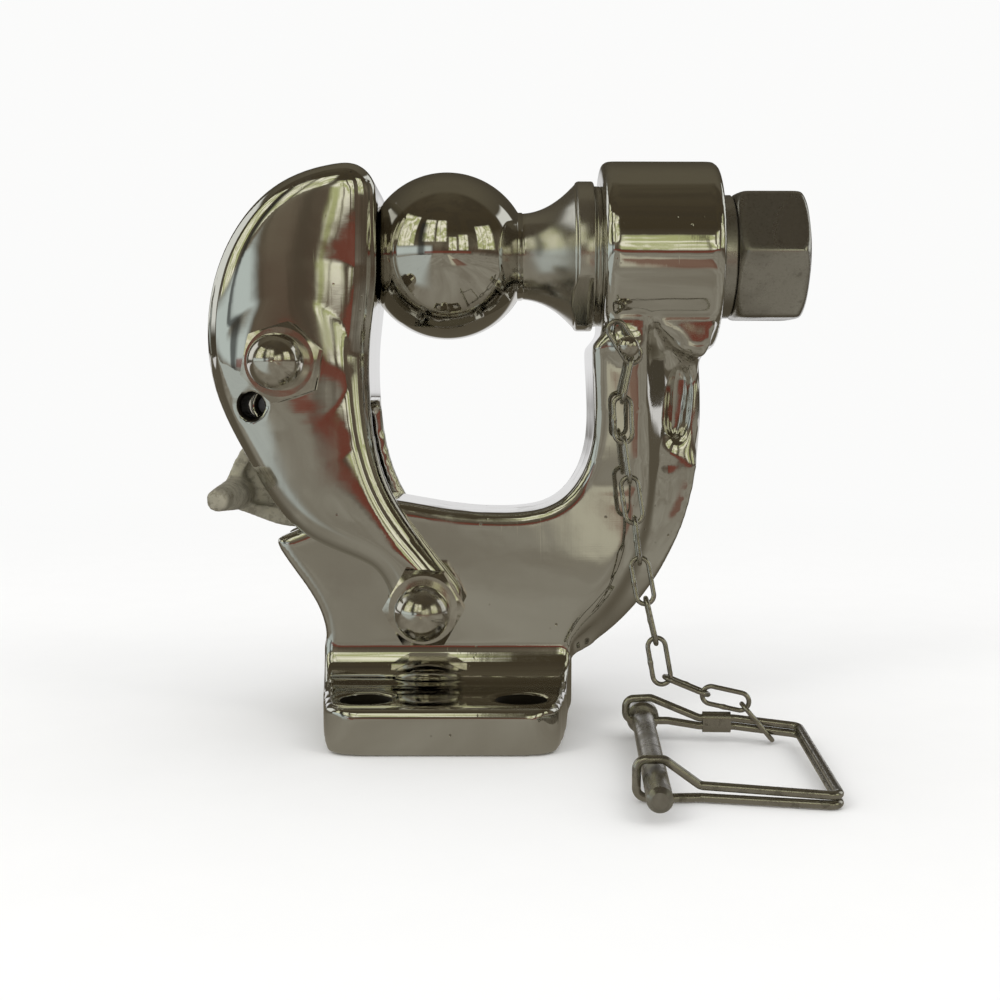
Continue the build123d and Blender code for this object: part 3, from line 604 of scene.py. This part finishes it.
ring = linkTree.add("GeometryNodeCurvePrimitiveCircle", None, {
    "Resolution": linkTree.given("Round"), "Radius": linkTree.calc("DIVIDE", linkTree.given("Wire"), 2.0)})
tube = linkTree.add("GeometryNodeCurveToMesh", None, {"Curve": loop, "Profile Curve": ring, "Scale": swell})
linkTree.finish(tube, finishes["chain_wire"])


def linkLoop(name):
    # the centre line of one link, long along x
    bend = (linkSizes["width"] - linkSizes["wire"]) / 2
    run = (linkSizes["length"] - linkSizes["wire"]) / 2 - bend
    points = [(x, bend, 0) for x in np.linspace(-run, run, 18)]
    points += [(run + bend * math.sin(a), bend * math.cos(a), 0) for a in np.linspace(0, math.pi, 16)[1:-1]]
    points += [(x, -bend, 0) for x in np.linspace(run, -run, 8)]
    points += [(-run - bend * math.sin(a), -bend * math.cos(a), 0) for a in np.linspace(0, math.pi, 16)[1:-1]]
    mesh = bpy.data.meshes.new(name)
    mesh.from_pydata(points, [(i, (i + 1) % len(points)) for i in range(len(points))], [])
    return mesh


def linkPlace(nodeName, normal):
    # a link's own frame, from its node's shape and its hinge
    co = np.array([v.co for v in nodes[nodeName].data.vertices])
    normal = np.array(normal) / np.linalg.norm(normal)
    middle = (co.max(0) + co.min(0)) / 2
    flat = (co - middle) - np.outer((co - middle) @ normal, normal)
    along = np.linalg.svd(flat, full_matrices=False)[2][0]
    side = np.cross(normal, along)
    for axis in (normal, along, side):
        reach = (co - middle) @ axis
        middle = middle + axis * (reach.max() + reach.min()) / 2
    frameAxes = Matrix((along, side, normal)).transposed().to_4x4()
    return Matrix.Translation(middle) @ frameAxes


hinges = {joint["child"]: joint for joint in frame["joints"]}
linkNames = sorted(name for name in nodes if name.startswith("chain_link"))
for nodeName in linkNames:
    link = linkTree.run("chainRing" + nodeName[-2:], linkLoop(nodeName + "Line"), {
        "Wire": linkSizes["wire"], "Bead": linkSizes["bead"], "Bead Length": linkSizes["beadLength"],
        "Round": linkSizes["round"],
    }, nodeName)
    link.data.transform(linkPlace(nodeName, hinges[bodyOf(nodeName)]["axis"]))
    outwards(link.data)
    smoothFaces(link.data)
    handOver(link, nodeName)
print("chain done:", len(linkNames), "links")


view = {"place": (0.01403, -0.4537, 0.0989), "pitch": 4.02, "yaw": 0.273, "roll": -0.07, "lens": 52.46}
cameraData = bpy.data.cameras.new("camera")
cameraData.lens = view["lens"]
cameraData.sensor_width = 36.0
cameraData.clip_start = 0.01
camera = bpy.data.objects.new("camera", cameraData)
camera.location = view["place"]
camera.rotation_euler = Euler(
    (math.radians(90 - view["pitch"]), math.radians(view["roll"]), math.radians(-view["yaw"])), "XYZ")
bpy.context.scene.collection.objects.link(camera)
bpy.context.scene.camera = camera


studio = {"floorSize": 6.0, "pale": (0.965, 0.965, 0.96), "ambient": 1.0}


def flatSheet(name, size, place, turn, material):
    half = size[0] / 2, size[1] / 2
    mesh = bpy.data.meshes.new(name)
    corners = [(-half[0], -half[1], 0), (half[0], -half[1], 0), (half[0], half[1], 0), (-half[0], half[1], 0)]
    mesh.from_pydata(corners, [], [(0, 1, 2, 3)])
    sheet = bpy.data.objects.new(name, mesh)
    sheet.location = place
    sheet.rotation_euler = turn
    mesh.materials.append(material)
    bpy.context.scene.collection.objects.link(sheet)


floorPaint = bpy.data.materials.new("palePaper")
paint = Shader(floorPaint)
ground = paint.add("TexCoord", out="Object")
paperTone = paint.mix(paint.noise(40, 3.0), rgb(0.88, 0.88, 0.875), rgb(0.90, 0.90, 0.895))
paper = paint.add("BsdfDiffuse", None, {"Color": paperTone})
depth = paint.add("SeparateXYZ", None, {0: ground}, out="Y")
width = paint.add("SeparateXYZ", None, {0: ground}, out="X")
streak = paint.noise(1, 4.0, paint.coords(scale=(9, 3, 1)), twist=0.8).smooth(0.30, 0.75)
frontTone = paint.mix(streak, rgb(0.225, 0.205, 0.165), rgb(0.33, 0.315, 0.265))
# a painted reflection: bands that only reflections see, pale to the right, red further right, cool to the
# left
lightStrip = width.smooth(0.045, 0.085) * width.smooth(0.16, 0.24, 1.0, 0.0)
lightStrip = lightStrip * depth.smooth(-0.55, -0.42, 1.0, 0.0)
frontTone = paint.mix(lightStrip * 0.75, frontTone, rgb(0.62, 0.60, 0.47))
redStrip = width.smooth(0.10, 0.13) * width.smooth(0.22, 0.28, 1.0, 0.0)
redStrip = redStrip * depth.smooth(-1.1, -0.9) * depth.smooth(-0.5, -0.4, 1.0, 0.0)
frontTone = paint.mix(redStrip * 0.8, frontTone, rgb(0.16, 0.055, 0.035))
sideStrip = (width - depth * 0.35).smooth(0.0, -0.10) * depth.smooth(-0.10, -0.16)
frontTone = paint.mix(sideStrip * 0.7, frontTone, rgb(0.58, 0.65, 0.64))
# to reflections the sheet is darkest near the part, then pale far behind it
nearTone = paint.mix(depth.smooth(-0.07, 0.03), frontTone, rgb(0.115, 0.10, 0.072))
paintedReflectionTone = paint.mix(depth.smooth(0.26, 0.42), nearTone, rgb(0.80, 0.80, 0.81))
# the sheet glows to reflections only: a painted reflection of a room, not a lamp
paintedReflectionGlow = paint.add("Emission", None, {"Color": paintedReflectionTone, "Strength": 1.0})
# far from the part the sheet fades into the room, so no edge shows
far = paint.add("VectorMath", {"operation": "LENGTH"}, {0: ground}, out="Value").smooth(0.25, 1.0)
glow = paint.add("Emission", None, {"Color": rgb(*studio["pale"]), "Strength": 1.0})
sheetShade = paint.add("MixShader", None, {0: far, 1: paper, 2: glow})
glossy = paint.add("LightPath", out="Is Glossy Ray")
floorShade = paint.add("MixShader", None, {0: glossy, 1: sheetShade, 2: paintedReflectionGlow})
paint.add("OutputMaterial", None, {"Surface": floorShade})
flatSheet("floor", (studio["floorSize"], studio["floorSize"]), (0, 0, -0.0002), (0, 0, 0), floorPaint)

world = bpy.data.worlds.new("room")
bpy.context.scene.world = world
bpy.context.scene.view_settings.view_transform = "Standard"
room = Shader(world)
sight = room.add("TexCoord", out="Generated")
sightX = room.add("SeparateXYZ", None, {0: sight}, out="X")
sightY = room.add("SeparateXYZ", None, {0: sight}, out="Y")
sightZ = room.add("SeparateXYZ", None, {0: sight}, out="Z")
around = room.add("Math", {"operation": "ARCTAN2"}, {0: sightX, 1: sightY * -1.0}) * (180 / math.pi)
rise = room.add("Math", {"operation": "ARCSINE"}, {0: sightZ}) * (180 / math.pi)


def windowAt(left, right, low, high, soft=1.2):
    # a soft-edged pane between two bearings and two heights, in degrees
    sides = around.smooth(left - soft, left + soft) * around.smooth(right - soft, right + soft, 1.0, 0.0)
    return sides * rise.smooth(low - soft, low + soft) * rise.smooth(high - soft, high + soft, 1.0, 0.0)


wall = room.add("ValToRGB", {"stops": [
    (0.0, (0.17, 0.155, 0.125)), (0.40, (0.27, 0.255, 0.215)), (0.485, (0.31, 0.295, 0.245)),
    (0.515, (0.12, 0.085, 0.06)), (0.56, (0.19, 0.165, 0.12)),
    (0.66, (0.062, 0.049, 0.028)), (0.80, (0.070, 0.056, 0.034)),
    (1.0, (0.10, 0.085, 0.055)),
]}, {0: rise * (1 / 180) + 0.5})
clutter = room.noise(2.6, 4.0, sight, twist=1.0).smooth(0.42, 0.62)
wall = room.mix(clutter * 0.55, wall, rgb(0.055, 0.045, 0.03))
panes = windowAt(-78, -46, 10, 46) + windowAt(-34, -17, 15, 44) + windowAt(-14, 0, 15, 44)
panes = panes + windowAt(3.5, 14, 3.5, 21)
panes = panes + windowAt(17, 30, 4, 24) + windowAt(44, 70, 6, 34)
bars = around.calc("FRACT", around * 0.115) > 0.93
leaves = room.noise(7.0, 4.0, sight, twist=1.5).smooth(0.40, 0.60)
outdoors = room.mix(leaves, rgb(1.08, 1.06, 0.88), rgb(0.50, 0.53, 0.26))
wall = room.mix(panes * (1.0 - 0.8 * bars), wall, outdoors)
wall = room.mix(windowAt(-90, -20, 0, 9, 2.5) * 0.9, wall, rgb(0.66, 0.75, 0.74))
wall = room.mix(windowAt(-30, 34, -0.5, 2.6, 0.5) * 0.75, wall, rgb(0.20, 0.045, 0.028))
wall = room.mix(windowAt(-40, -30, -20, 40, 3.0) * 0.8, wall, rgb(0.03, 0.03, 0.028))
backTone = room.mix(rise.smooth(20, 70), rgb(0.072, 0.062, 0.044), rgb(0.13, 0.115, 0.08))
sidePane = windowAt(96, 128, 4, 40, 2.0) + windowAt(-128, -96, 4, 40, 2.0)
backTone = room.mix(sidePane, backTone, rgb(0.85, 0.87, 0.84))
lowBand = rise.smooth(-2, 1) * rise.smooth(7, 12, 1.0, 0.0) * sightY.smooth(0.80, 0.94)
backTone = room.mix(lowBand, backTone, rgb(0.80, 0.80, 0.81))
wall = room.mix(sightY.smooth(-0.04, 0.10), wall, backTone)
glossyRay = room.add("LightPath", out="Is Glossy Ray")
cameraRay = room.add("LightPath", out="Is Camera Ray")
ambient = room.mix(cameraRay, rgb(*[studio["ambient"]] * 3), rgb(*studio["pale"]))
ambient = room.mix(glossyRay, ambient, wall)
room.add("OutputWorld", None, {"Surface": room.add("Background", None, {"Color": ambient, "Strength": 1.0})})


def softbox(name, size, place, target, power, colour):
    light = bpy.data.lights.new(name, "AREA")
    light.shape = "RECTANGLE"
    light.size, light.size_y = size
    light.energy = power
    light.color = colour
    lamp = bpy.data.objects.new(name, light)
    lamp.location = place
    lamp.rotation_euler = (Vector(target) - Vector(place)).to_track_quat("-Z", "Y").to_euler()
    lamp.visible_camera = False
    lamp.visible_glossy = False
    bpy.context.scene.collection.objects.link(lamp)


middle = (0.02, 0.0, 0.09)
softbox("windowLeft", (0.55, 0.85), (-1.0, -1.1, 1.1), middle, 5, (1.0, 0.985, 0.95))
softbox("windowRight", (0.40, 0.70), (1.0, -0.9, 1.2), middle, 3, (1.0, 0.98, 0.94))
print("studio set")
